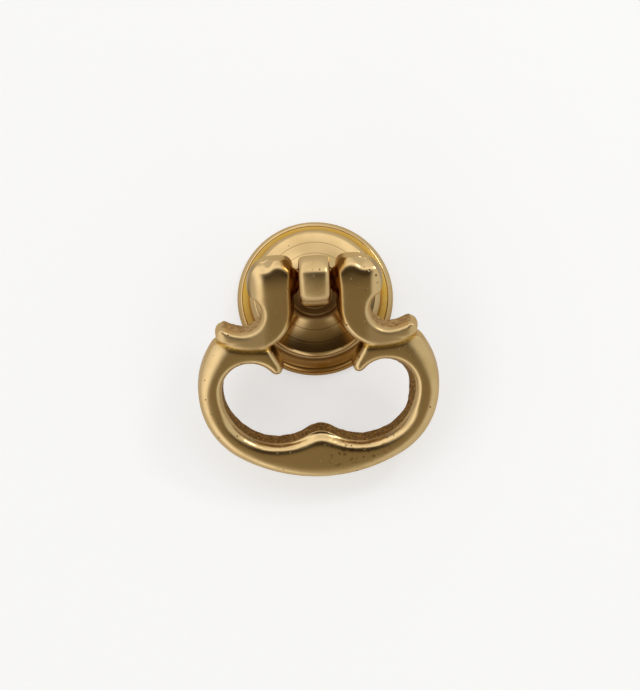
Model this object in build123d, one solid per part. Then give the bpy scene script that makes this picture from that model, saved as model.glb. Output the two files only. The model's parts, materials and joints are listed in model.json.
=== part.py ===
from build123d import *
import math
import os

# Brass drop pull for a drawer or a cabinet door, lying on its back. All sizes are in millimetres.
# The origin is the middle of the rosette's back. +Z points out of the drawer front towards the
# hand, -Y is downwards on a drawer and +X is to the right.

# Rosette
rosette_diameter = 32.0
rim_width = 1.1
rim_height = 2.5
back_chamfer = 0.5
cove_width = 1.55
cove_floor = 2.3
cove_hollow = 0.35
band_foot = 4.9
band_width = 0.95
band_height = 6.6
band_round = 0.35
flare_rise = 3.0
flare_hollow = 0.6
seat_diameter = 11.6
relief_diameter = 26.0
relief_depth = 1.0
turned_ring_places = (0.3, 0.67)
turned_ring_radius = 0.1

# Post
knuckle_width = 6.2
knuckle_radius = 5.0
knuckle_flat_depth = 0.7
knuckle_flat_angle = 25.0
knuckle_edge_radius = 0.8
neck_diameter = 7.6
collar_diameter = 10.8
collar_thickness = 1.0
collar_edge_radius = 0.4
pivot_rise = 9.7
spigot_diameter = 6.0
spigot_clearance = 0.1
tap_drill_diameter = 3.3
tapped_depth = 11.0
drill_point_angle = 118.0

# Pivot
pin_diameter = 3.2
pin_clearance = 0.05
pin_depth = 2.4
shoulder_diameter = 5.2
shoulder_gap = 0.3
root_depth = 3.0

# Bail casting
bail_thickness = 6.5
draft_angle = 4.0
face_edge_radius = 1.0
back_edge_radius = 0.5
rest_gap = 0.3

# Bail arms, as outlined on the back face and measured from the pin axis
head_gap = 8.2
head_top = 4.95
head_reach = 13.6
head_inner_radius = 2.2
head_outer_radius = 5.2
head_tip_radius = 1.5
hollow_radius = 3.5
hollow_x = 14.5
hollow_y = -6.0
heel_radius = 8.5
heel_y = -5.2
sole_radius = 12.5
instep_angle = 8.0
toe_top_x = 19.6
toe_height = 3.40469
toe_lean = 1.0
toe_radius = 1.5

# Bail loop, as outlined on the back face and measured from the pin axis
loop_drop = 40.2
loop_width = 48.7
loop_side_radius = 16.15
loop_widest_y = -21.8
loop_shoulder_angle = 42.0
loop_corner_radius = 1.7
valley_overlap = 0.3
leaf_radius = 1.6
leaf_angle = 60.0
leaf_turn = 140.0
bar_width = 5.3
finger_middle_y = -21.75
finger_top_radius = 5.45
cusp_drop = 6.96976
cusp_radius = 4.4

# Radii and heights that follow from the driving dimensions
rosette_radius = rosette_diameter / 2
cove_radius = rosette_radius - rim_width
band_radius = cove_radius - cove_width
seat_height = band_height + flare_rise
pivot_height = seat_height + pivot_rise
half_thickness = bail_thickness / 2
face_inset = bail_thickness * math.tan(math.radians(draft_angle))
heel_centre = (head_gap / 2 + heel_radius, heel_y)
sole_centre = (heel_centre[0], heel_y - heel_radius + sole_radius)
toe_x = toe_top_x + toe_lean
finger_side_x = loop_width / 2 - bar_width
finger_lobe_radius = (finger_side_x ** 2 + cusp_drop ** 2) / (2 * finger_side_x)


def polar(centre, radius, angle):
    """The point of a circle at an angle in degrees."""
    turn = math.radians(angle)
    return (centre[0] + radius * math.cos(turn), centre[1] + radius * math.sin(turn))


def point_below(centre, radius, x):
    """The lower point of a circle at x."""
    return (x, centre[1] - math.sqrt(radius ** 2 - (x - centre[0]) ** 2))


def rounded(face, corner, radius):
    """A face with the corner nearest to a point rounded off."""
    return fillet(face.vertices().sort_by_distance(corner)[0], radius)


def hang_angle():
    """How far the bail dips below the level when its lower edge rests on the drawer front."""
    reach = loop_drop - back_edge_radius
    depth = half_thickness - back_edge_radius
    fall = pivot_height - rest_gap - back_edge_radius
    return math.degrees(math.asin(fall / math.hypot(reach, depth)) - math.atan2(depth, reach))


def rosette():
    """Turned backplate: bearing ring, rim, cove, raised band, and a flare that rises to the post's seat."""
    bore = spigot_diameter / 2 + spigot_clearance
    relief = relief_diameter / 2
    rim_foot = (rosette_radius, rim_height - rim_width)
    cove_start = (cove_radius, cove_floor)
    cove_end = (band_radius, band_foot)
    band_end = (band_radius - band_width, band_height)
    seat_edge = (seat_diameter / 2, seat_height)
    flare = SagittaArc(band_end, seat_edge, flare_hollow)
    outline = Curve() + [
        Polyline((bore, relief_depth), (relief, relief_depth), (relief, 0),
                 (rosette_radius - back_chamfer, 0), (rosette_radius, back_chamfer), rim_foot),
        JernArc(rim_foot, (0, 1), rim_width, 90),
        Line((cove_radius, rim_height), cove_start),
        SagittaArc(cove_start, cove_end, cove_hollow),
        SagittaArc(cove_end, band_end, -band_round),
        flare,
        Polyline(seat_edge, (bore, seat_height), (bore, relief_depth)),
    ]
    body = revolve(Plane.XZ * make_face(outline), Axis.Z)
    for place in turned_ring_places:
        ring = flare @ place
        body -= Pos(0, 0, ring.Y) * Torus(ring.X, turned_ring_radius)
    return body


def post():
    """Turned post: tapped spigot, collar, flat-sided neck, and a knuckle bored across for the pins."""
    upright = (Align.CENTER, Align.CENTER, Align.MIN)
    neck_bottom = seat_height + collar_thickness
    spigot = Cylinder(spigot_diameter / 2, seat_height, align=upright)
    collar = Pos(0, 0, seat_height) * Cylinder(collar_diameter / 2, collar_thickness, align=upright)
    collar = fillet(collar.edges().sort_by(Axis.Z)[-1], collar_edge_radius)
    neck_height = pivot_height - neck_bottom
    neck = Cylinder(neck_diameter / 2, neck_height, align=upright)
    neck &= Box(knuckle_width, neck_diameter, neck_height, align=upright)
    knuckle = Rot(0, 90, 0) * Cylinder(knuckle_radius, knuckle_width)
    flat = Box(2 * knuckle_width, 2 * knuckle_radius, knuckle_radius, align=upright)
    knuckle -= Rot(knuckle_flat_angle, 0, 0) * Pos(0, 0, knuckle_radius - knuckle_flat_depth) * flat
    knuckle = fillet(knuckle.faces().filter_by(Axis.X).edges(), knuckle_edge_radius)
    cross_bore = Rot(0, 90, 0) * Cylinder(pin_diameter / 2 + pin_clearance, 2 * knuckle_width)
    tap_radius = tap_drill_diameter / 2
    point_length = tap_radius / math.tan(math.radians(drill_point_angle / 2))
    tapped = Cylinder(tap_radius, tapped_depth, align=upright)
    tapped += Pos(0, 0, tapped_depth) * Cone(tap_radius, 0, point_length, align=upright)
    body = spigot + collar + Pos(0, 0, neck_bottom) * neck + Pos(0, 0, pivot_height) * knuckle
    return body - Pos(0, 0, pivot_height) * cross_bore - tapped


def arm_outline():
    """The right arm: a head beside the post, a hollow on its outer side, a heel, and a foot."""
    inner_x = head_gap / 2
    hollow = (hollow_x, hollow_y)
    head_corner = (inner_x, head_top)
    head_shoulder = (head_reach, head_top)
    head_tip = (head_reach, hollow_y + math.sqrt(hollow_radius ** 2 - (head_reach - hollow_x) ** 2))
    instep = polar(hollow, hollow_radius, instep_angle - 90)
    toe = point_below(sole_centre, sole_radius, toe_x)
    toe_top = (toe_top_x, toe[1] + toe_height)
    sole_end = (sole_centre[0], sole_centre[1] - sole_radius)
    sole_middle = point_below(sole_centre, sole_radius, (sole_end[0] + toe_x) / 2)
    heel_top = (inner_x, heel_y)
    face = make_face(Curve() + [
        ThreePointArc(heel_top, polar(heel_centre, heel_radius, 225), sole_end),
        ThreePointArc(sole_end, sole_middle, toe),
        Line(toe, toe_top),
        TangentArc(instep, toe_top, tangent=polar((0, 0), 1, instep_angle)),
        ThreePointArc(instep, (hollow_x - hollow_radius, hollow_y), head_tip),
        Polyline(head_tip, head_shoulder, head_corner, heel_top),
    ])
    face = rounded(face, head_corner, head_inner_radius)
    face = rounded(face, head_shoulder, head_outer_radius)
    face = rounded(face, head_tip, head_tip_radius)
    face = rounded(face, toe_top, toe_radius)
    return rounded(face, toe, toe_radius)


def loop_outline():
    """The loop, open between its two leaf tips, with a cusp in the lower edge of the finger hole."""
    bottom = (0, -loop_drop)
    side_centre = (loop_width / 2 - loop_side_radius, loop_widest_y)
    fall = loop_drop + loop_widest_y
    bottom_radius = (side_centre[0] ** 2 + fall ** 2 - loop_side_radius ** 2) / (2 * (fall - loop_side_radius))
    bottom_centre = (0, bottom_radius - loop_drop)
    join_angle = math.degrees(math.atan2(side_centre[1] - bottom_centre[1], side_centre[0]))
    join = polar(bottom_centre, bottom_radius, join_angle)
    shoulder = polar(side_centre, loop_side_radius, loop_shoulder_angle)
    saddle_radius = sole_radius - 2 * face_inset - valley_overlap
    saddle = (sole_centre[0], sole_centre[1] - saddle_radius)

    finger_top = (finger_side_x - finger_top_radius, finger_middle_y)
    finger_lobe = (finger_side_x - finger_lobe_radius, finger_middle_y)
    leaf_centre = polar(finger_top, finger_top_radius + leaf_radius, leaf_turn)
    leaf_under = polar(finger_top, finger_top_radius, leaf_turn)
    leaf_end = polar(leaf_centre, leaf_radius, (leaf_angle + 90 + leaf_turn + 180) / 2)
    leaf_top = polar(leaf_centre, leaf_radius, leaf_angle + 90)
    leaf_root = polar(leaf_top, (saddle[1] - leaf_top[1]) / math.sin(math.radians(leaf_angle)), leaf_angle)
    finger_side = (finger_side_x, finger_middle_y)
    cusp = point_below(finger_lobe, finger_lobe_radius, 0)
    half = make_face(Curve() + [
        ThreePointArc(bottom, polar(bottom_centre, bottom_radius, (join_angle - 90) / 2), join),
        ThreePointArc(join, polar(side_centre, loop_side_radius, 0), shoulder),
        ThreePointArc(shoulder, saddle, leaf_root),
        Line(leaf_root, leaf_top),
        ThreePointArc(leaf_top, leaf_end, leaf_under),
        ThreePointArc(leaf_under, polar(finger_top, finger_top_radius, leaf_turn / 2), finger_side),
        ThreePointArc(finger_side, polar(finger_lobe, finger_lobe_radius, -45), cusp),
        Line(cusp, bottom),
    ])
    half = rounded(half, shoulder, loop_corner_radius)
    half = rounded(half, leaf_root, loop_corner_radius)
    face = half + mirror(half, about=Plane.YZ)
    return rounded(face, cusp, cusp_radius)


def cast(outline):
    """A drafted casting on an outline, with its face edges rounded and its back edges eased."""
    blank = extrude(Pos(0, 0, -half_thickness) * outline, bail_thickness)
    sides = [face for face in blank.faces() if abs(face.normal_at().Z) < 0.5]
    blank = draft(sides, Plane.XY.offset(-half_thickness), draft_angle)
    blank = fillet(blank.faces().sort_by(Axis.Z)[-1].edges(), face_edge_radius)
    return fillet(blank.faces().sort_by(Axis.Z)[0].edges(), back_edge_radius)


def trunnion():
    """The right pivot pin with its shoulder, rooted in the head of the arm."""
    root = head_gap / 2 + root_depth
    shoulder_x = knuckle_width / 2 + shoulder_gap
    pin_x = knuckle_width / 2 - pin_depth
    along = (Align.CENTER, Align.CENTER, Align.MIN)
    pin = Cylinder(pin_diameter / 2, root - pin_x, align=along)
    shoulder = Cylinder(shoulder_diameter / 2, root - shoulder_x, align=along)
    return Pos(pin_x, 0, 0) * Rot(0, 90, 0) * pin + Pos(shoulder_x, 0, 0) * Rot(0, 90, 0) * shoulder


def bail():
    """The swinging drop, one casting, hanging with its lower edge against the drawer front."""
    arm = cast(arm_outline()) + trunnion()
    casting = cast(loop_outline()) + arm + mirror(arm, about=Plane.YZ)
    return Pos(0, 0, pivot_height) * Rot(hang_angle(), 0, 0) * casting


os.makedirs("parts", exist_ok=True)
export_step(rosette(), "parts/rosette.step")
export_step(post(), "parts/post.step")
export_step(bail(), "parts/bail.step")
print("hang angle", round(hang_angle(), 2), "pivot height", round(pivot_height, 2))
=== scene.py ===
import json
import math

import bpy
import numpy as np
from mathutils import Matrix, Vector


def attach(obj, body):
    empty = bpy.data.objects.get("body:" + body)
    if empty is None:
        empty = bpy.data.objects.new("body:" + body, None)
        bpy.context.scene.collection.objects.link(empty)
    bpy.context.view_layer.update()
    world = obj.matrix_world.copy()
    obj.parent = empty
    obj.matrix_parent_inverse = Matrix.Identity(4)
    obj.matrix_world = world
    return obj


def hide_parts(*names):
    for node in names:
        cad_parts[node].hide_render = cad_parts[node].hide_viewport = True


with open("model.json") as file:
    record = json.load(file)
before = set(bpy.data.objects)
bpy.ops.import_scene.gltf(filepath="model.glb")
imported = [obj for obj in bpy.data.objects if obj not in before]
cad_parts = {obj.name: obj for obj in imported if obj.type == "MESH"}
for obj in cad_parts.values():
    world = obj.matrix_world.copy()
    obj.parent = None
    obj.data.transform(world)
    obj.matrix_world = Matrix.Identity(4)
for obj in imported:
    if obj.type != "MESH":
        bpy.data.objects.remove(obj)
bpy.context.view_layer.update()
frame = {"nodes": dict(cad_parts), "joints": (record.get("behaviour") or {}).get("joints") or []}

# Brass drop pull, seen lying on a white table. All lengths are in metres.
MM = 0.001

# Bail's own plane: x to the right, y up along the bail from the pin axis, z out of its face
PIVOT = np.array(frame["joints"][0]["pos_m"])
HANG_ANGLE = math.radians(23.74)
BAIL_THICKNESS = 6.5 * MM
FACE_Z = BAIL_THICKNESS / 2

# Camera, as the photo was taken: almost straight down on the table
IMAGE_WIDTH = 640
IMAGE_HEIGHT = 690
FOCAL_PIXELS = 2189.0
SENSOR = 36.0
CLIP_START = 0.01
CAMERA_DISTANCE = 450 * MM
CAMERA_TILT = math.radians(10.0)
CAMERA_ROLL = math.radians(2.3)
CAMERA_TARGET = Vector((0.6 * MM, -9.6 * MM, 0.0))

# Spots: the least size, how much more the largest has, where the soft edge begins, and the step of the draw
SPOT_LEAST = 0.4
SPOT_SPREAD = 0.8
SPOT_CORE = 0.55
SPOT_DRAW = 0.01
HALF_TURN = 180.0
EDGE_TINT = (0.92, 0.78, 0.55, 1.0)
WHITE = (1.0, 1.0, 1.0, 1.0)


class Wire:
    """A socket of a shader. Arithmetic on it adds Math nodes."""

    def __init__(self, shader, socket):
        self.shader = shader
        self.socket = socket

    def math(self, operation, first, second=0.0):
        return self.shader.node("ShaderNodeMath", {"operation": operation}, {0: first, 1: second})

    def __add__(self, other):
        return self.math("ADD", self, other)

    def __radd__(self, other):
        return self.math("ADD", other, self)

    def __sub__(self, other):
        return self.math("SUBTRACT", self, other)

    def __rsub__(self, other):
        return self.math("SUBTRACT", other, self)

    def __mul__(self, other):
        return self.math("MULTIPLY", self, other)

    def __rmul__(self, other):
        return self.math("MULTIPLY", other, self)

    def __truediv__(self, other):
        return self.math("DIVIDE", self, other)

    def __rtruediv__(self, other):
        return self.math("DIVIDE", other, self)

    def absolute(self):
        return self.math("ABSOLUTE", self)

    def root(self):
        return self.math("SQRT", self)

    def angle_from(self, other):
        """The angle whose tangent is this value over another."""
        return self.math("ARCTAN2", self, other)

    def least(self, other):
        return self.math("MINIMUM", self, other)

    def most(self, other):
        return self.math("MAXIMUM", self, other)

    def step(self, low, high):
        """Zero below low, one above high, and a smooth step between. It falls where low is above high."""
        sockets = {"Value": self, "From Min": low, "From Max": high, "To Min": 0.0, "To Max": 1.0}
        return self.shader.node("ShaderNodeMapRange", {"interpolation_type": "SMOOTHSTEP"}, sockets)


class Shader:
    """The node tree of a material or of the world, with one method for every kind of node."""

    def __init__(self, tree):
        self.tree = tree
        tree.nodes.clear()

    def node(self, kind, settings=None, sockets=None, output=0):
        """Adds a node, sets its settings and then its sockets, and returns one of its outputs."""
        made = self.tree.nodes.new(kind)
        for name, value in (settings or {}).items():
            if name == "stops":
                self.set_stops(made.color_ramp, value)
            else:
                setattr(made, name, value)
        for name, value in (sockets or {}).items():
            if isinstance(value, Wire):
                self.tree.links.new(value.socket, made.inputs[name])
            else:
                made.inputs[name].default_value = value
        outputs = made.outputs
        return Wire(self, outputs[output]) if len(outputs) else made

    def set_stops(self, ramp, stops):
        while len(ramp.elements) < len(stops):
            ramp.elements.new(1.0)
        for element, (place, colour) in zip(ramp.elements, stops):
            element.position = place
            element.color = colour

    def coordinates(self, output="Object"):
        return self.node("ShaderNodeTexCoord", output=output)

    def attribute(self, name):
        """A value that the piece's own mesh holds at each point."""
        return self.node("ShaderNodeAttribute", {"attribute_name": name}, output="Fac")

    def ray(self, kind):
        """One for rays of a kind, zero for others."""
        return self.node("ShaderNodeLightPath", output=kind)

    def parts(self, vector):
        """The x, y and z of a vector."""
        return [self.node("ShaderNodeSeparateXYZ", None, {0: vector}, output=axis) for axis in range(3)]

    def noise(self, vector, scale, detail, roughness=0.5):
        sockets = {"Vector": vector, "Scale": scale, "Detail": detail, "Roughness": roughness}
        return self.node("ShaderNodeTexNoise", None, sockets)

    def line_noise(self, place, scale, detail):
        """Noise along one value."""
        sockets = {"W": place, "Scale": scale, "Detail": detail}
        return self.node("ShaderNodeTexNoise", {"noise_dimensions": "1D"}, sockets)

    def spots(self, vector, scale, share, size):
        """Round spots scattered at random: only a share of the cells has one, and sizes differ."""
        sockets = {"Vector": vector, "Scale": scale}
        distance = self.node("ShaderNodeTexVoronoi", None, sockets, output="Distance")
        draw = self.node("ShaderNodeTexVoronoi", None, sockets, output="Color")
        luck, spread = self.parts(draw)[:2]
        reach = size * (spread * SPOT_SPREAD + SPOT_LEAST)
        inside = (distance / reach).step(1.0, SPOT_CORE)
        return inside * luck.step(1.0 - share, 1.0 - share + SPOT_DRAW)

    def mix(self, factor, first, second):
        """One colour turning into another."""
        settings = {"data_type": "RGBA", "clamp_factor": True}
        return self.node("ShaderNodeMix", settings, {0: factor, 6: first, 7: second}, output=2)

    def by_angle(self, angle, stops):
        """A colour for an angle from -90 to 90 degrees, from stops at some angles."""
        places = [(degrees / HALF_TURN + 0.5, colour) for degrees, colour in stops]
        sockets = {"Fac": angle / HALF_TURN + 0.5}
        return self.node("ShaderNodeValToRGB", {"stops": places}, sockets, output="Color")

    def bump(self, height, distance):
        sockets = {"Height": height, "Distance": distance, "Strength": 1.0}
        return self.node("ShaderNodeBump", None, sockets)


def material(name):
    made = bpy.data.materials.new(name)
    made.use_nodes = True
    return made, Shader(made.node_tree)


def weighted(base, weights, values):
    """A base, and each named value added to it times its weight."""
    total = base
    for name, value in values.items():
        total = total + weights[name] * value
    return total


def finish_metal(shader, colour, roughness, normal, metallic=1.0):
    """Bare metal, with no coat, that keeps its colour at a glancing angle."""
    sockets = {"Base Color": colour, "Metallic": metallic, "Roughness": roughness, "Normal": normal,
               "Specular Tint": EDGE_TINT}
    metal = shader.node("ShaderNodeBsdfPrincipled", None, sockets)
    shader.node("ShaderNodeOutputMaterial", None, {"Surface": metal})


# Meshes
WELD_DISTANCE = 0.001 * MM
LEAST_AREA = 1e-12
LEAST_REACH = 1e-9
NOISE_CELLS = 64
EASING_SHARE = 0.5


def place_piece(mesh, name, body, node):
    """A smooth piece of a mesh that stands for a solid and moves with its body, with the solid's own node
    hidden.
    """
    mesh.polygons.foreach_set("use_smooth", np.ones(len(mesh.polygons), bool))
    mesh.update()
    made = bpy.data.objects.new(name, mesh)
    bpy.context.scene.collection.objects.link(made)
    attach(made, body)
    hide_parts(node)
    return made


def smooth_step(value, low, high):
    """Zero at low, one at high, and an even S between."""
    share = np.clip((value - low) / (high - low), 0.0, 1.0)
    return share * share * (3.0 - 2.0 * share)


def to_bail(points):
    """Points of the whole pull in the bail's own plane: moved to the pin axis and turned level."""
    moved = points - PIVOT
    cosine, sine = math.cos(HANG_ANGLE), math.sin(HANG_ANGLE)
    y = moved[:, 1] * cosine + moved[:, 2] * sine
    z = moved[:, 2] * cosine - moved[:, 1] * sine
    return np.column_stack((moved[:, 0], y, z))


def from_bail(local):
    """The way back from the bail's own plane."""
    cosine, sine = math.cos(HANG_ANGLE), math.sin(HANG_ANGLE)
    y = local[:, 1] * cosine - local[:, 2] * sine
    z = local[:, 1] * sine + local[:, 2] * cosine
    return np.column_stack((local[:, 0], y, z)) + PIVOT


def value_noise(points, pitch, seed):
    """Smooth noise from -1 to 1: random values on a cubic lattice, blended along x, y and z in turn."""
    lattice = np.random.default_rng(seed).uniform(-1.0, 1.0, (NOISE_CELLS, NOISE_CELLS, NOISE_CELLS))
    cell = np.floor(points / pitch).astype(int)
    share = smooth_step(points / pitch - cell, 0.0, 1.0)
    total = np.zeros(len(points))
    for corner in range(8):
        step = np.array([corner & 1, corner >> 1 & 1, corner >> 2])
        x, y, z = ((cell + step) % NOISE_CELLS).T
        total += lattice[x, y, z] * np.prod(np.where(step == 1, share, 1.0 - share), axis=1)
    return total


def even_mesh(source, pitch):
    """A copy of a solid's mesh with its triangles joined and remade as even squares of one pitch."""
    copy = source.copy()
    copy.data = source.data.copy()
    copy.parent = None
    bpy.context.scene.collection.objects.link(copy)
    weld = copy.modifiers.new("weld", "WELD")
    weld.merge_threshold = WELD_DISTANCE
    remesh = copy.modifiers.new("remesh", "REMESH")
    remesh.mode = "VOXEL"
    remesh.voxel_size = pitch
    bpy.context.view_layer.update()
    mesh = bpy.data.meshes.new_from_object(copy.evaluated_get(bpy.context.evaluated_depsgraph_get()))
    bpy.data.objects.remove(copy)
    mesh.materials.clear()
    return mesh


def read_mesh(mesh):
    """Points, edges and squares of a mesh as whole arrays."""
    points = np.empty(len(mesh.vertices) * 3, np.float32)
    mesh.vertices.foreach_get("co", points)
    edges = np.empty(len(mesh.edges) * 2, np.int32)
    mesh.edges.foreach_get("vertices", edges)
    corners = np.empty(len(mesh.loops), np.int32)
    mesh.loops.foreach_get("vertex_index", corners)
    return points.reshape(-1, 3).astype(float), edges.reshape(-1, 2), corners.reshape(-1, 4)


def neighbour_mean(values, edges):
    """At each point, the mean of its neighbours' values."""
    count = len(values)
    ends = np.concatenate((edges[:, 0], edges[:, 1]))
    others = np.concatenate((edges[:, 1], edges[:, 0]))
    near = np.bincount(ends, minlength=count)
    sums = [np.bincount(ends, weights=column[others], minlength=count) for column in values.T]
    return np.column_stack(sums) / near[:, None]


def ease(points, edges, share, rounds):
    """Moves each point, round after round, by a share of the way to its neighbours' mean."""
    for turn in range(rounds):
        points += share * (neighbour_mean(points, edges) - points)


def point_normals(points, squares):
    """Unit normals: the crossed diagonals of the squares round each point, added up."""
    a, b, c, d = (points[squares[:, corner]] for corner in range(4))
    across = np.cross(c - a, d - b)
    total = np.zeros_like(points)
    for corner in range(4):
        for axis in range(3):
            weights = across[:, axis]
            total[:, axis] += np.bincount(squares[:, corner], weights=weights, minlength=len(points))
    return total / np.maximum(np.linalg.norm(total, axis=1), LEAST_AREA)[:, None]


def add_value(mesh, name, values):
    """Keeps a value at each point of a mesh, for its material to read."""
    layer = mesh.attributes.new(name, "FLOAT", "POINT")
    layer.data.foreach_set("value", values.astype(np.float32))


# Bail casting: even small faces, eased by hand, rough skin below the polished edge.
# A pair of values gives where a smooth step starts and ends, and a facing is a share of the unit normal.
BAIL_GRID = 0.235 * MM
BAIL_ROUNDS = 16
ARC_LIMIT = 0.98

LOOP_SIDE = (8.2 * MM, -21.8 * MM)
LOOP_SIDE_RADIUS = 16.15 * MM
LOOP_DROP = 40.2 * MM
SHOULDER_NARROW = 2.6 * MM
SHOULDER_WIDE = 4.4 * MM
SHOULDER_RISE = (-24.0 * MM, -13.0 * MM)
NARROW_ROUND = 4.0 * MM
WIDE_ROUND = 6.6 * MM
ARM_FOOT = -11.5 * MM

HEAD_ROUND = 5.2 * MM
HEAD_ROUND_LEFT = 9.4 * MM
HEAD_ROUND_RIGHT = 10.2 * MM
HEAD_FOOT = -4.5 * MM
HEAD_TOP_ROUND = 2.7 * MM
HEAD_TOP_START = 2.5 * MM
HEAD_TOP_BOW = 2.4 * MM
HEAD_TOP_MIDDLE = 7.2 * MM
HEAD_TOP_HALF = 3.2 * MM
HEAD_TOP_END = 9.4 * MM
TOE_START = 17.4 * MM
TOE_ROUND = 5.0 * MM
ARM_INNER = 3.7 * MM
ARM_EDGE = 1.9 * MM
ARM_EDGE_RISE = (-10.0 * MM, -6.5 * MM)
ARM_CROWN = 24.0 * MM
ARM_CROWN_START = -1.5 * MM

FINGER_LOBE = (8.25 * MM, -21.75 * MM)
FINGER_LOBE_RADIUS = 11.25 * MM
FINGER_ROUND = 1.9 * MM
FINGER_FACING = (0.2, 0.75)
FINGER_CENTRE = (0.0, -23.5 * MM)
FINGER_TOP = -14.0 * MM
CUSP_BLEND = 1.7 * MM

SOLE_CENTRE = (12.6 * MM, -1.2 * MM)
VALLEY_RADIUS = 12.2 * MM
VALLEY_WIDTH = 0.5 * MM
VALLEY_DROP = 7.0 * MM
VALLEY_INNER = (6.5 * MM, 8.5 * MM)

FOOT_CRISP = 0.75
FOOT_SIDE = (8.0 * MM, 11.0 * MM)
FOOT_LOW = (-14.0 * MM, -12.0 * MM)
FOOT_HIGH = (-2.0 * MM, -4.0 * MM)

HOLE_FACING = (0.25, 0.5)
HOLLOW_CENTRE = (14.5 * MM, -6.0 * MM)
HOLLOW_REACH = (7.6 * MM, 5.4 * MM)
HOLLOW_FACING = (0.3, 0.6)

GAP_REACH = 10.0 * MM
GAP_EDGE_FACING = (0.03, 0.5)
GAP_WALL_FACING = (0.6, 0.9)
GAP_WALL_RISE = (-16.0 * MM, -13.0 * MM)
GAP_WALL_DEPTH = (1.2 * MM, 2.0 * MM)
END_DEPTH = (0.8 * MM, 1.3 * MM)
END_RISE = (HEAD_FOOT, HEAD_FOOT + 1.0 * MM)
END_FACING = (0.42, 0.78)

POLISH_DEPTH = 1.9 * MM
POLISH_FADE = (POLISH_DEPTH, POLISH_DEPTH + 0.2 * MM)
SKIN_STEP = 0.05 * MM
SKIN_ROUGHNESS = 0.10 * MM
SKIN_COARSE = (0.6, 0.9 * MM, 11)
SKIN_FINE = (0.4, 0.45 * MM, 12)
SKIN_LEAN = 0.09
SKIN_LEAN_FACING = (0.2, 0.7)
RIGHT_LEAN = 0.24
RIGHT_SIDE = (6.0 * MM, 12.0 * MM)
RIGHT_FACING = (0.2, 0.9)


def outer_distance(local):
    """How far a point lies inside the loop's outer edge: a circle at each side and a wide one below."""
    x, y = np.abs(local[:, 0]), local[:, 1]
    fall = LOOP_DROP + LOOP_SIDE[1]
    wide = (LOOP_SIDE[0] ** 2 + fall ** 2 - LOOP_SIDE_RADIUS ** 2) / (2 * (fall - LOOP_SIDE_RADIUS))
    wide_y = wide - LOOP_DROP
    side = LOOP_SIDE_RADIUS - np.hypot(x - LOOP_SIDE[0], y - LOOP_SIDE[1])
    below = wide - np.hypot(x, y - wide_y)
    low = x * (LOOP_SIDE[1] - wide_y) - (y - wide_y) * LOOP_SIDE[0] > 0
    return np.where(low, below, side)


def sole_distance(local):
    """How far a point lies from the middle of the circle that the sole of its foot follows."""
    return np.hypot(np.abs(local[:, 0]) - SOLE_CENTRE[0], local[:, 1] - SOLE_CENTRE[1])


def arc_fall(reach, radius):
    """How far a circle falls away from its top at a distance to one side."""
    reach = np.clip(reach, 0.0, ARC_LIMIT * radius)
    return radius - np.sqrt(radius ** 2 - reach ** 2)


def finger_round(local):
    """How far the lower edge of the finger hole is rounded down: a quarter circle, full where it faces up.
    The distances from the two lobes are blended, as the logarithm of a sum of powers, to round the cusp."""
    x, y = local[:, 0], local[:, 1] - FINGER_LOBE[1]
    right = np.hypot(x - FINGER_LOBE[0], y)
    left = np.hypot(x + FINGER_LOBE[0], y)
    away = -CUSP_BLEND * np.logaddexp(-right / CUSP_BLEND, -left / CUSP_BLEND) - FINGER_LOBE_RADIUS
    fall = arc_fall(FINGER_ROUND - np.maximum(away, 0.0), FINGER_ROUND)
    return fall * smooth_step(-y / np.minimum(right, left), *FINGER_FACING)


def file_face(local):
    """Files the face down by the most of five falls, each an arc: along the loop's outer edge, in a band
    that widens up to the arms, over the heads' tops and outer ends, along the arms' inner edges, at the toes,
    and round the lower edge of the finger hole. The heads' top border bows as a parabola."""
    x, y, z = local.T
    side = np.abs(x)
    upper = smooth_step(y, *SHOULDER_RISE)
    width = SHOULDER_NARROW + (SHOULDER_WIDE - SHOULDER_NARROW) * upper
    radius = NARROW_ROUND + (WIDE_ROUND - NARROW_ROUND) * upper
    outer = arc_fall(width - outer_distance(local), radius) * (y < ARM_FOOT)
    start = np.where(x < 0.0, HEAD_ROUND_LEFT, HEAD_ROUND_RIGHT)
    head = arc_fall(side - start, HEAD_ROUND) * (y > HEAD_FOOT)
    bow = (np.minimum(side, HEAD_TOP_END) - HEAD_TOP_MIDDLE) / HEAD_TOP_HALF
    top = HEAD_TOP_START - HEAD_TOP_BOW * bow ** 2
    head += arc_fall(y - top, HEAD_TOP_ROUND) + arc_fall(y - ARM_CROWN_START, ARM_CROWN)
    inner = arc_fall(ARM_INNER + ARM_EDGE - side, ARM_EDGE) * smooth_step(y, *ARM_EDGE_RISE)
    toe = arc_fall(side - TOE_START, TOE_ROUND) * (sole_distance(local) < VALLEY_RADIUS) * (y < HEAD_FOOT)
    fall = np.maximum.reduce((outer, head, inner, toe, finger_round(local)))
    return np.column_stack((x, y, np.minimum(z, np.maximum(FACE_Z - fall, 0.0))))


def foot_share(local):
    """One on the feet, which keep crisper edges."""
    side, y = np.abs(local[:, 0]), local[:, 1]
    return smooth_step(side, *FOOT_SIDE) * smooth_step(y, *FOOT_LOW) * smooth_step(y, *FOOT_HIGH)


def valley_share(local):
    """One along the groove between the foot and the loop, which follows the circle of the sole."""
    away = (sole_distance(local) - VALLEY_RADIUS) / VALLEY_WIDTH
    along = smooth_step(np.abs(local[:, 0]), *VALLEY_INNER)
    below = local[:, 1] - SOLE_CENTRE[1] < -VALLEY_DROP
    return np.exp(-away ** 2) * along * below * (local[:, 2] > 0)


def facing(across, along, normals):
    """How squarely a wall faces a place that lies at a distance across and along the bail's plane."""
    return (across * normals[:, 0] + along * normals[:, 1]) / np.hypot(across, along)


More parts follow.
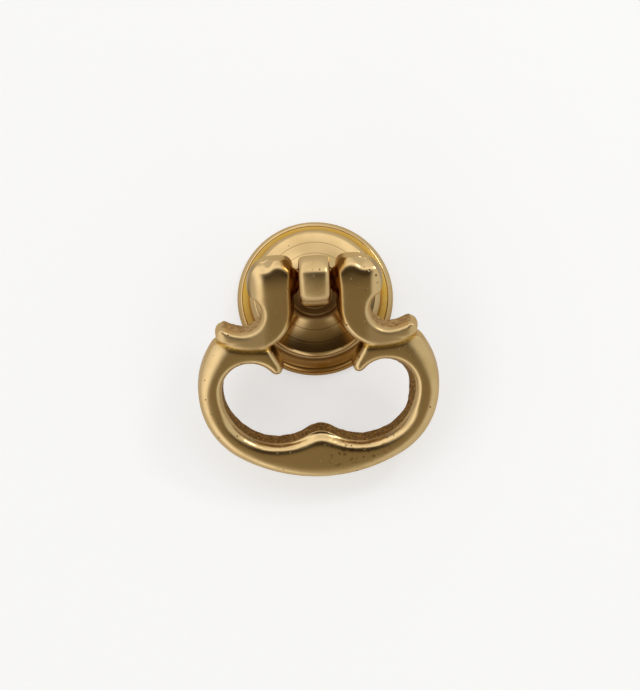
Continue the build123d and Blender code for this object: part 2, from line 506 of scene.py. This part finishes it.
def inner_walls(local, normals):
    """One on walls that face the finger hole or the hollows of the arms."""
    x, y = local[:, 0], local[:, 1]
    hole = facing(FINGER_CENTRE[0] - x, FINGER_CENTRE[1] - y, normals)
    across, along = np.sign(x) * HOLLOW_CENTRE[0] - x, HOLLOW_CENTRE[1] - y
    hollow = facing(across, along, normals)
    hole = smooth_step(hole, *HOLE_FACING) * (y < FINGER_TOP)
    hollow = smooth_step(hollow, *HOLLOW_FACING) * smooth_step(np.hypot(across, along), *HOLLOW_REACH)
    return np.maximum(hole, hollow)


def gap_walls(local, normals):
    """One on the walls of the arms that face the post, which take painted shade."""
    x, y, z = local.T
    inward = -normals[:, 0] * np.sign(x)
    edge = smooth_step(inward, *GAP_EDGE_FACING) * smooth_step(y, *ARM_EDGE_RISE)
    wall = smooth_step(inward, *GAP_WALL_FACING) * smooth_step(y, *GAP_WALL_RISE)
    wall *= smooth_step(FACE_Z - z, *GAP_WALL_DEPTH)
    return np.maximum(edge, wall) * (np.abs(x) < GAP_REACH)


def head_ends(local, normals):
    """One on the steep walls at the outer ends of the heads, which take a painted shadow line."""
    x, y, z = local.T
    outward = smooth_step(normals[:, 0] * np.sign(x), *END_FACING)
    return outward * smooth_step(y, *END_RISE) * smooth_step(FACE_Z - z, *END_DEPTH)


def skin_lift(local, normals):
    """How far the raw skin stands off the wall: noise of two sizes, a step down at the polished edge, and a
    lean that grows with depth, so that the lower and right walls show more."""
    rough = sum(share * value_noise(local, pitch, seed) for share, pitch, seed in (SKIN_COARSE, SKIN_FINE))
    depth = np.maximum(FACE_Z - local[:, 2] - POLISH_DEPTH, 0.0)
    right = smooth_step(local[:, 0], *RIGHT_SIDE) * smooth_step(-normals[:, 0] - normals[:, 1], *RIGHT_FACING)
    lean = depth * (SKIN_LEAN * smooth_step(normals[:, 1], *SKIN_LEAN_FACING) + RIGHT_LEAN * right)
    return SKIN_ROUGHNESS * rough - SKIN_STEP + lean


def bail_casting():
    """The bail as cast and filed: the solid's form on even squares, its face filed down, every edge and
    valley eased by moving each point towards its neighbours' mean, and noise along the normals on the raw
    walls."""
    mesh = even_mesh(frame["nodes"]["bail"], BAIL_GRID)
    points, edges, squares = read_mesh(mesh)
    local = file_face(to_bail(points))
    foot = foot_share(local)
    ease(local, edges, EASING_SHARE * (1.0 - FOOT_CRISP * foot)[:, None], BAIL_ROUNDS)
    normals = point_normals(local, squares)
    skin = inner_walls(local, normals) * smooth_step(FACE_Z - local[:, 2], *POLISH_FADE)
    local += (skin * skin_lift(local, normals))[:, None] * normals
    mesh.vertices.foreach_set("co", from_bail(local).astype(np.float32).ravel())
    add_value(mesh, "skin", skin)
    add_value(mesh, "foot", foot)
    add_value(mesh, "valley", valley_share(local))
    add_value(mesh, "gap", gap_walls(local, normals))
    add_value(mesh, "ends", head_ends(local, normals))
    return place_piece(mesh, "bail_casting", "drop", "bail")


# Post: knuckle filed to a barrel and eased
POST_GRID = 0.15 * MM
POST_ROUNDS = 22
KNUCKLE_CORE = (2.0 * MM, 4.0 * MM)
KNUCKLE_RISE = (14.0 * MM, 16.0 * MM)
KNUCKLE_HALF_WIDTH = 3.1 * MM
KNUCKLE_BARREL = 0.25 * MM
FLAT_ANGLE = math.radians(25.0)
FLAT_HALF = 2.55 * MM
FLAT_BULGE = 0.32 * MM
FLAT_RISE = (2.0 * MM, 3.0 * MM)


def post_turning():
    """The post on even squares: its knuckle drawn in towards both ends, as the square of x, its flat bulged
    out as a parabola, and all of it eased."""
    mesh = even_mesh(frame["nodes"]["post"], POST_GRID)
    points, edges = read_mesh(mesh)[:2]
    cosine, sine = math.cos(FLAT_ANGLE), math.sin(FLAT_ANGLE)
    across = points - PIVOT
    reach = np.maximum(np.hypot(across[:, 1], across[:, 2]), LEAST_REACH)
    outside = smooth_step(reach, *KNUCKLE_CORE) * smooth_step(points[:, 2], *KNUCKLE_RISE)
    share = outside * KNUCKLE_BARREL * (across[:, 0] / KNUCKLE_HALF_WIDTH) ** 2 / reach
    points[:, 1:] -= share[:, None] * across[:, 1:]
    across = points - PIVOT
    along = across[:, 1] * cosine + across[:, 2] * sine
    height = across[:, 2] * cosine - across[:, 1] * sine
    bulge = FLAT_BULGE * np.maximum(1.0 - (along / FLAT_HALF) ** 2, 0.0) * smooth_step(height, *FLAT_RISE)
    points[:, 1] -= bulge * sine
    points[:, 2] += bulge * cosine
    eased = points.copy()
    ease(eased, edges, EASING_SHARE, POST_ROUNDS)
    points += outside[:, None] * (eased - points)
    mesh.vertices.foreach_set("co", points.astype(np.float32).ravel())
    return place_piece(mesh, "post_turning", "base", "post")


# Rosette profile, as distance from the axis and height, in millimetres. A bow gives its height and its steps.
ROSETTE_TURNS = 288
ROSETTE_BACK = [(3.1, 1.0), (13.0, 1.0), (13.0, 0.0), (15.5, 0.0), (16.0, 0.5), (16.0, 1.35)]
ROSETTE_LIP = [(14.95, 2.45), (14.84, 2.36)]
ROSETTE_BEAD = [(13.4, 4.95), (13.33, 4.97)]
ROSETTE_FLARE = (12.4, 7.05)
ROSETTE_SEAT = [(5.8, 9.6), (3.1, 9.6), (3.1, 1.0)]
RIM_BOW = (0.2, 16)
COVE_BOW = (-0.35, 20)
BAND_BOW = (0.42, 18)
FLARE_BOW = (-0.35, 48)
CORNER_HOLD = 0.03
CORNER_MOST = 0.4


def straight(points):
    """A chain of straight lines, with a second point close to each end of each line to keep corners crisp."""
    starts, ends = np.array(points[:-1]), np.array(points[1:])
    share = np.minimum(CORNER_HOLD / np.linalg.norm(ends - starts, axis=1)[:, None], CORNER_MOST)
    held = share * (ends - starts)
    return np.stack((starts, starts + held, ends - held, ends), axis=1).reshape(-1, 2)


def bowed(start, end, bow, count):
    """A line from start to end that bows to its right, as a parabola."""
    start, end = np.array(start), np.array(end)
    share = np.linspace(0.0, 1.0, count)[:, None]
    along = (end - start) / np.linalg.norm(end - start)
    aside = np.array([along[1], -along[0]])
    return start + share * (end - start) + 4.0 * bow * share * (1.0 - share) * aside


def rosette_turning():
    """The rosette: its closed profile turned about the axis, as a grid of profile points by angles."""
    profile = np.concatenate((
        straight(ROSETTE_BACK),
        bowed(ROSETTE_BACK[-1], ROSETTE_LIP[0], *RIM_BOW),
        straight(ROSETTE_LIP),
        bowed(ROSETTE_LIP[1], ROSETTE_BEAD[0], *COVE_BOW),
        straight(ROSETTE_BEAD),
        bowed(ROSETTE_BEAD[1], ROSETTE_FLARE, *BAND_BOW),
        bowed(ROSETTE_FLARE, ROSETTE_SEAT[0], *FLARE_BOW),
        straight(ROSETTE_SEAT),
    )) * MM
    keep = np.linalg.norm(profile - np.roll(profile, 1, axis=0), axis=1) > WELD_DISTANCE
    profile = profile[keep]
    angles = np.arange(ROSETTE_TURNS) * (2.0 * math.pi / ROSETTE_TURNS)
    radius, height = profile[:, :1], profile[:, 1:]
    points = np.stack((radius * np.cos(angles), radius * np.sin(angles), height + 0.0 * angles), axis=2)
    rows, columns = len(profile), ROSETTE_TURNS
    row, column = np.meshgrid(np.arange(rows), np.arange(columns), indexing="ij")
    next_row, next_column = (row + 1) % rows, (column + 1) % columns
    squares = np.stack((row * columns + column, row * columns + next_column,
                        next_row * columns + next_column, next_row * columns + column), axis=2)
    mesh = bpy.data.meshes.new("rosette_turning")
    mesh.from_pydata(points.reshape(-1, 3), [], squares.reshape(-1, 4))
    return place_piece(mesh, "rosette_turning", "base", "rosette")


# Brass colours
CLEAN_BRASS = (0.74, 0.53, 0.265, 1.0)
AGED_BRASS = (0.60, 0.40, 0.16, 1.0)
CAST_SKIN = (0.14, 0.056, 0.012, 1.0)
SKIN_LIGHT = (0.56, 0.31, 0.09, 1.0)
HOLLOW_SKIN = (0.52, 0.33, 0.15, 1.0)
# The next two are painted shade for the arms' walls that face the post.
GAP_SHADE_AMBER = (0.46, 0.25, 0.05, 1.0)
GAP_SHADE_BROWN = (0.17, 0.058, 0.008, 1.0)
# Painted shade for the lower half of the rosette's dome, under the bail.
DOME_SHADE_BROWN = (0.30, 0.17, 0.065, 1.0)
STAIN = (0.30, 0.17, 0.06, 1.0)
# Painted shade for the post's foot and the rosette's seat, under the knuckle.
KNUCKLE_SHADE_BROWN = (0.24, 0.135, 0.05, 1.0)
# Painted shade and patina: a darker amber for the crease between foot and loop.
VALLEY_SHADE_AND_PATINA = (0.60, 0.34, 0.05, 1.0)
COVE_AMBER = (0.86, 0.53, 0.085, 1.0)
# Painted shade: brown for the lower side of the cove and rim.
LOWER_SIDE_SHADE_BROWN = (0.33, 0.14, 0.011, 1.0)
# Brown for real pits and scribed rings, and also for painted shadow lines at the heads' ends and at the
# rosette's bead.
PIT_AND_SHADOW_BROWN = (0.10, 0.055, 0.02, 1.0)

# Cast finish. A step is where a mask starts and ends, and a share is how much of the colour below it hides.
CAST_AGE_STEP = (0.45, 0.75)
CAST_AGE_SHARE = 0.45
CAST_PIT_SHARE = 0.85
STAIN_LEFT = (-1.0 * MM, 4.0 * MM)
STAIN_RIGHT = (16.0 * MM, 10.0 * MM)
STAIN_LOW = (-36.5 * MM, -35.0 * MM)
STAIN_HIGH = (-29.0 * MM, -32.0 * MM)
STAIN_STEP = (0.54, 0.66)
STAIN_SHARE = 0.7
VALLEY_STEP = (0.1, 0.8)
VALLEY_SHARE = 0.75
GAP_AMBER_STEP = (0.0, 0.5)
GAP_AMBER_SHARE = 0.8
GAP_BROWN_STEP = (0.35, 1.0)
GAP_BROWN_SHARE = 0.95
END_LEAST = 0.6
CRUST_STEP = (0.42, 0.66)
HOLLOW_LOW = (-12.0 * MM, -9.0 * MM)
HOLLOW_LEAST = 0.65
SPARKLE_STEP = (0.44, 0.64)
SPARKLE_SHARE = 0.65
SPARKLE_POLISH = 0.7
SKIN_SHARE = 0.95
SKIN_DULL = 0.1
CAST_POLISH = 0.17
CAST_ROUGHNESS = {"age": 0.08, "grain": 0.05, "skin": 0.25, "pits": 0.25, "valley": 0.08, "foot": 0.16}
CAST_RELIEF = {"waves": 0.5, "ripples": 0.12, "pits": -0.4, "crust": 1.2, "grain": 0.02}
CAST_BUMP = 0.06 * MM


def cast_brass():
    """The bail: hand-polished face and edges, rough skin from the mould on the inner walls, small pits,
    painted shade and patina along the valleys, and painted shade on the walls facing the post and at the
    heads' outer ends.
    """
    made, shader = material("cast_brass")
    place = shader.coordinates()
    x, y, z = shader.parts(place)
    names = ("skin", "valley", "gap", "foot", "ends")
    skin, valley, gap, foot, ends = (shader.attribute(name) for name in names)
    waves = shader.noise(place, scale=220.0, detail=1.0)
    ripples = shader.noise(place, scale=600.0, detail=1.0)
    grain = shader.noise(place, scale=3200.0, detail=3.0)
    crust = shader.noise(place, scale=2200.0, detail=4.0, roughness=0.65)
    patches = crust.step(*CRUST_STEP)
    pits = shader.spots(place, scale=800.0, share=0.40, size=0.21)
    age = shader.noise(place, scale=150.0, detail=4.0).step(*CAST_AGE_STEP)
    stained = x.step(*STAIN_LEFT) * x.step(*STAIN_RIGHT) * y.step(*STAIN_LOW) * y.step(*STAIN_HIGH)
    stains = shader.noise(place, scale=1400.0, detail=3.0, roughness=0.6).step(*STAIN_STEP) * stained
    hollow = y.step(*HOLLOW_LOW)
    sparkle = hollow * shader.noise(place, scale=1100.0, detail=3.0, roughness=0.6).step(*SPARKLE_STEP)

    colour = shader.mix(age * CAST_AGE_SHARE, CLEAN_BRASS, AGED_BRASS)
    colour = shader.mix(stains * STAIN_SHARE, colour, STAIN)
    # Painted shade and patina along the valley between foot and loop: the crease turns darker amber.
    colour = shader.mix(valley.step(*VALLEY_STEP) * VALLEY_SHARE, colour, VALLEY_SHADE_AND_PATINA)
    # Painted shade on the arms' walls that face the post: amber at their edges, brown where they face it
    # fully.
    colour = shader.mix(gap.step(*GAP_AMBER_STEP) * GAP_AMBER_SHARE, colour, GAP_SHADE_AMBER)
    colour = shader.mix(gap.step(*GAP_BROWN_STEP) * GAP_BROWN_SHARE, colour, GAP_SHADE_BROWN)
    # Painted shadow: a dark line on the steep walls at the heads' outer ends, against the rosette, mottled by
    # age.
    colour = shader.mix(ends * (END_LEAST + (1.0 - END_LEAST) * age), colour, PIT_AND_SHADOW_BROWN)
    crusted = shader.mix(patches, CAST_SKIN, SKIN_LIGHT)
    crusted = shader.mix(hollow * (HOLLOW_LEAST + (1.0 - HOLLOW_LEAST) * patches), crusted, HOLLOW_SKIN)
    crusted = shader.mix(sparkle * SPARKLE_SHARE, crusted, CLEAN_BRASS)
    colour = shader.mix(skin * SKIN_SHARE, colour, crusted)
    colour = shader.mix(pits * CAST_PIT_SHARE, colour, PIT_AND_SHADOW_BROWN)

    dull = {"age": age, "grain": grain, "skin": skin * (1.0 - SPARKLE_POLISH * sparkle), "pits": pits,
            "valley": valley, "foot": foot * foot}
    relief = {"waves": waves, "ripples": ripples, "pits": pits, "crust": skin * crust, "grain": grain}
    roughness = weighted(CAST_POLISH, CAST_ROUGHNESS, dull)
    normal = shader.bump(weighted(0.0, CAST_RELIEF, relief), CAST_BUMP)
    finish_metal(shader, colour, roughness, normal, 1.0 - SKIN_DULL * skin)
    return made


# Turned finish, by height and by distance from the rosette's axis. A low step falls towards the lower side.
TURNED_AGE_STEP = (0.42, 0.75)
TURNED_AGE_SHARE = 0.45
TURNED_PIT_SHARE = 0.85
COVE_INNER = (13.25 * MM, 13.45 * MM)
COVE_OUTER = (15.0 * MM, 14.8 * MM)
COVE_FLOOR = (1.6 * MM, 2.0 * MM)
COVE_LEAST = 0.75
COVE_LOW = (3.0 * MM, -11.0 * MM)
RIM_RADIUS = (14.6 * MM, 14.9 * MM)
RIM_SHARE = 0.7
GROOVE_HEIGHT = 4.96 * MM
GROOVE_STEP = (0.16 * MM, 0.04 * MM)
GROOVE_RADIUS = (12.9 * MM, 13.1 * MM)
GROOVE_SHARE = 0.75
SHELTER_LOW = (2.0 * MM, -7.0 * MM)
SHELTER_RADIUS = (13.7 * MM, 13.3 * MM)
SHELTER_LEAST = 0.35
SHELTER_AGE = 0.25
SEAT_LOW = (1.0 * MM, -3.0 * MM)
SEAT_RADIUS = (6.6 * MM, 5.9 * MM)
SEAT_SHARE = 0.8
OUTER_SCRIBE = 10.4 * MM
INNER_SCRIBE = 7.95 * MM
SCRIBE_STEP = (0.12 * MM, 0.03 * MM)
SCRIBE_SHARE = 0.55
TURNED_POLISH = 0.12
TURNED_ROUGHNESS = {"age": 0.07, "rings": 0.08, "pits": 0.25, "cove": 0.18, "seat": 0.25}
TURNED_RELIEF = {"rings": 0.12, "waves": 0.2, "pits": -0.4}
TURNED_BUMP = 0.05 * MM


def turned_brass():
    """The rosette: polished on the lathe, with fine rings about its axis, an amber cove, scribed rings and
    small pits, and painted shade on its lower side, round the post's seat and at the bead's edge.
    """
    made, shader = material("turned_brass")
    place = shader.coordinates()
    x, y, z = shader.parts(place)
    radius = (x * x + y * y).root()
    rings = shader.line_noise(radius, scale=2600.0, detail=3.0)
    waves = shader.noise(place, scale=200.0, detail=1.0)
    age = shader.noise(place, scale=160.0, detail=4.0).step(*TURNED_AGE_STEP)
    pits = shader.spots(place, scale=420.0, share=0.14, size=0.14)
    cove = radius.step(*COVE_INNER) * radius.step(*COVE_OUTER) * z.step(*COVE_FLOOR)
    low = y.step(*COVE_LOW)
    groove = (z - GROOVE_HEIGHT).absolute().step(*GROOVE_STEP) * radius.step(*GROOVE_RADIUS)
    lower_dome_shade = y.step(*SHELTER_LOW) * radius.step(*SHELTER_RADIUS)
    seat = y.step(*SEAT_LOW) * radius.step(*SEAT_RADIUS)
    scribe = (radius - OUTER_SCRIBE).absolute().least((radius - INNER_SCRIBE).absolute())

    colour = shader.mix(age * TURNED_AGE_SHARE, CLEAN_BRASS, AGED_BRASS)
    # Painted shade: the cove and the rim turn brown towards the lower side, where the bail hangs over them.
    amber = shader.mix(low, COVE_AMBER, LOWER_SIDE_SHADE_BROWN)
    colour = shader.mix(cove * (COVE_LEAST + (1.0 - COVE_LEAST) * age), colour, amber)
    colour = shader.mix(low * radius.step(*RIM_RADIUS) * RIM_SHARE, colour, LOWER_SIDE_SHADE_BROWN)
    # Painted shadow: a thin dark line at the edge of the bead, standing for the shade in a small step that
    # the shape lacks.
    colour = shader.mix(groove * GROOVE_SHARE, colour, PIT_AND_SHADOW_BROWN)
    # Painted shade on the lower half of the dome and bead, under the bail's loop, mottled by age.
    colour = shader.mix(lower_dome_shade * (SHELTER_LEAST + SHELTER_AGE * age), colour, DOME_SHADE_BROWN)
    # Painted shade round the post's seat on the lower side, under the knuckle.
    colour = shader.mix(seat * SEAT_SHARE, colour, KNUCKLE_SHADE_BROWN)
    colour = shader.mix(scribe.step(*SCRIBE_STEP) * SCRIBE_SHARE, colour, PIT_AND_SHADOW_BROWN)
    colour = shader.mix(pits * TURNED_PIT_SHARE, colour, PIT_AND_SHADOW_BROWN)

    dull = {"age": age, "rings": rings, "pits": pits, "cove": cove, "seat": seat}
    relief = {"rings": rings, "waves": waves, "pits": pits}
    roughness = weighted(TURNED_POLISH, TURNED_ROUGHNESS, dull)
    normal = shader.bump(weighted(0.0, TURNED_RELIEF, relief), TURNED_BUMP)
    finish_metal(shader, colour, roughness, normal)
    return made


# Post's finish
POST_AGE_STEP = (0.42, 0.75)
POST_AGE_SHARE = 0.4
POST_PIT_SHARE = 0.8
POST_SHADE_STEP = (16.0 * MM, 14.5 * MM)
POST_SHADE_SHARE = 0.9
POST_POLISH = 0.25
POST_ROUGHNESS = {"age": 0.07, "grain": 0.06, "pits": 0.25, "foot": 0.2}
POST_RELIEF = {"waves": 0.5, "pits": -0.4, "grain": 0.03}
POST_BUMP = 0.06 * MM


def post_brass():
    """The post: filed and polished by hand, with a little casting porosity and painted shade on its foot
    below the knuckle.
    """
    made, shader = material("post_brass")
    place = shader.coordinates()
    x, y, z = shader.parts(place)
    waves = shader.noise(place, scale=420.0, detail=1.0)
    grain = shader.noise(place, scale=3000.0, detail=3.0)
    age = shader.noise(place, scale=240.0, detail=4.0).step(*POST_AGE_STEP)
    pits = shader.spots(place, scale=800.0, share=0.30, size=0.16)
    foot = z.step(*POST_SHADE_STEP)
    colour = shader.mix(age * POST_AGE_SHARE, CLEAN_BRASS, AGED_BRASS)
    # Painted shade on the post's foot, below the knuckle.
    colour = shader.mix(foot * POST_SHADE_SHARE, colour, KNUCKLE_SHADE_BROWN)
    colour = shader.mix(pits * POST_PIT_SHARE, colour, PIT_AND_SHADOW_BROWN)
    dull = {"age": age, "grain": grain, "pits": pits, "foot": foot}
    roughness = weighted(POST_POLISH, POST_ROUGHNESS, dull)
    relief = weighted(0.0, POST_RELIEF, {"waves": waves, "pits": pits, "grain": grain})
    finish_metal(shader, colour, roughness, shader.bump(relief, POST_BUMP))
    return made


# Studio: pale walls all round, a dim ceiling with the camera's stand in its middle, a white table.
# A stop is an angle in degrees from straight above, and the light that comes from there.
BACKGROUND = (0.939, 0.939, 0.939, 1.0)
TABLE_COLOUR = (0.548, 0.550, 0.562, 1.0)
TABLE_GLOW = 0.540
TABLE_MIRRORED = 0.25
TABLE_SIZE = 3.0
TABLE_HEIGHT = -0.05 * MM
KEY_PLACE = Vector((0.42, 0.40, 0.50))
KEY_SIZE = 0.12
KEY_POWER = 0.55
CEILING_LEFT = (-34.0, -12.0)
CEILING_RIGHT = (38.0, 18.0)
CEILING_STOPS = [
    (-90, (0.55, 0.52, 0.47, 1.0)), (-68, (0.42, 0.38, 0.30, 1.0)), (-52, (0.26, 0.22, 0.14, 1.0)),
    (-38, (0.245, 0.20, 0.12, 1.0)), (-28, (0.17, 0.135, 0.075, 1.0)), (-19, (0.04, 0.026, 0.011, 1.0)),
    (12, (0.04, 0.027, 0.012, 1.0)), (19, (0.40, 0.39, 0.36, 1.0)), (26, (1.0, 0.99, 0.96, 1.0)),
    (31, (1.32, 1.31, 1.27, 1.0)), (46, (0.95, 0.94, 0.91, 1.0)), (90, (0.84, 0.83, 0.81, 1.0)),
]
SIDE_STOPS = [
    (-90, (0.70, 0.69, 0.67, 1.0)), (-64, (0.62, 0.61, 0.59, 1.0)), (-48, (1.15, 1.14, 1.12, 1.0)),
    (-38, (1.30, 1.29, 1.25, 1.0)), (-20, (1.15, 1.14, 1.10, 1.0)), (20, (0.80, 0.79, 0.74, 1.0)),
    (38, (0.74, 0.75, 0.68, 1.0)), (90, (0.62, 0.63, 0.62, 1.0)),
]


def studio_world():
    """Pale walls, by the angle from side to side, and overhead a dim field that is darkest straight above,
    by the angle from front to back. The camera itself sees a plain pale background."""
    world = bpy.data.worlds.new("studio")
    bpy.context.scene.world = world
    world.use_nodes = True
    shader = Shader(world.node_tree)
    x, y, z = shader.parts(shader.coordinates("Generated"))
    lengthwise = y.angle_from(z) * math.degrees(1.0)
    sideways = x.angle_from(z) * math.degrees(1.0)
    ceiling = shader.by_angle(lengthwise, CEILING_STOPS)
    walls = shader.by_angle(sideways, SIDE_STOPS)
    overhead = sideways.step(*CEILING_LEFT) * sideways.step(*CEILING_RIGHT)
    light = shader.mix(overhead, walls, ceiling)
    light = shader.mix(shader.ray("Is Camera Ray"), light, BACKGROUND)
    sky = shader.node("ShaderNodeBackground", None, {"Color": light, "Strength": 1.0})
    shader.node("ShaderNodeOutputWorld", None, {"Surface": sky})


def table():
    """A white table under the pull. It takes the soft shadow, and glows a little for the camera, mirrors and
    glass, but not for the light's own bounces."""
    half = TABLE_SIZE / 2
    mesh = bpy.data.meshes.new("table")
    corners = [(-half, -half, TABLE_HEIGHT), (half, -half, TABLE_HEIGHT),
               (half, half, TABLE_HEIGHT), (-half, half, TABLE_HEIGHT)]
    mesh.from_pydata(corners, [], [(0, 1, 2, 3)])
    top = bpy.data.objects.new("table", mesh)
    bpy.context.scene.collection.objects.link(top)
    made, shader = material("table")
    by_camera = shader.ray("Is Camera Ray")
    seen = by_camera.most(shader.ray("Is Glossy Ray")).most(shader.ray("Is Transmission Ray"))
    strength = by_camera * (TABLE_GLOW - TABLE_MIRRORED) + seen * TABLE_MIRRORED
    matte = shader.node("ShaderNodeBsdfDiffuse", None, {"Color": TABLE_COLOUR})
    glow = shader.node("ShaderNodeEmission", None, {"Color": WHITE, "Strength": strength})
    both = shader.node("ShaderNodeAddShader", None, {0: matte, 1: glow})
    shader.node("ShaderNodeOutputMaterial", None, {"Surface": both})
    mesh.materials.append(made)


def key_lamp():
    """A small square lamp that points at the pull."""
    data = bpy.data.lights.new("key", "AREA")
    data.shape = "SQUARE"
    data.size = KEY_SIZE
    data.energy = KEY_POWER
    made = bpy.data.objects.new("key", data)
    turn = (-KEY_PLACE).to_track_quat("-Z", "Y").to_matrix().to_4x4()
    made.matrix_world = Matrix.Translation(KEY_PLACE) @ turn
    bpy.context.scene.collection.objects.link(made)


def camera():
    """The camera looks down at the table from the near side, a little rolled."""
    data = bpy.data.cameras.new("camera")
    data.sensor_width = SENSOR
    data.lens = FOCAL_PIXELS / max(IMAGE_WIDTH, IMAGE_HEIGHT) * SENSOR
    data.clip_start = CLIP_START
    away = Vector((0.0, -math.sin(CAMERA_TILT), math.cos(CAMERA_TILT)))
    right = Vector((1.0, 0.0, 0.0))
    up = away.cross(right)
    rolled_right = right * math.cos(CAMERA_ROLL) - up * math.sin(CAMERA_ROLL)
    rolled_up = right * math.sin(CAMERA_ROLL) + up * math.cos(CAMERA_ROLL)
    made = bpy.data.objects.new("camera", data)
    turn = Matrix((rolled_right, rolled_up, away)).transposed().to_4x4()
    made.matrix_world = Matrix.Translation(CAMERA_TARGET + away * CAMERA_DISTANCE) @ turn
    bpy.context.scene.collection.objects.link(made)
    bpy.context.scene.camera = made


rosette_turning().data.materials.append(turned_brass())
post_turning().data.materials.append(post_brass())
bail_casting().data.materials.append(cast_brass())
table()
studio_world()
key_lamp()
camera()
bpy.context.scene.view_settings.view_transform = "Standard"
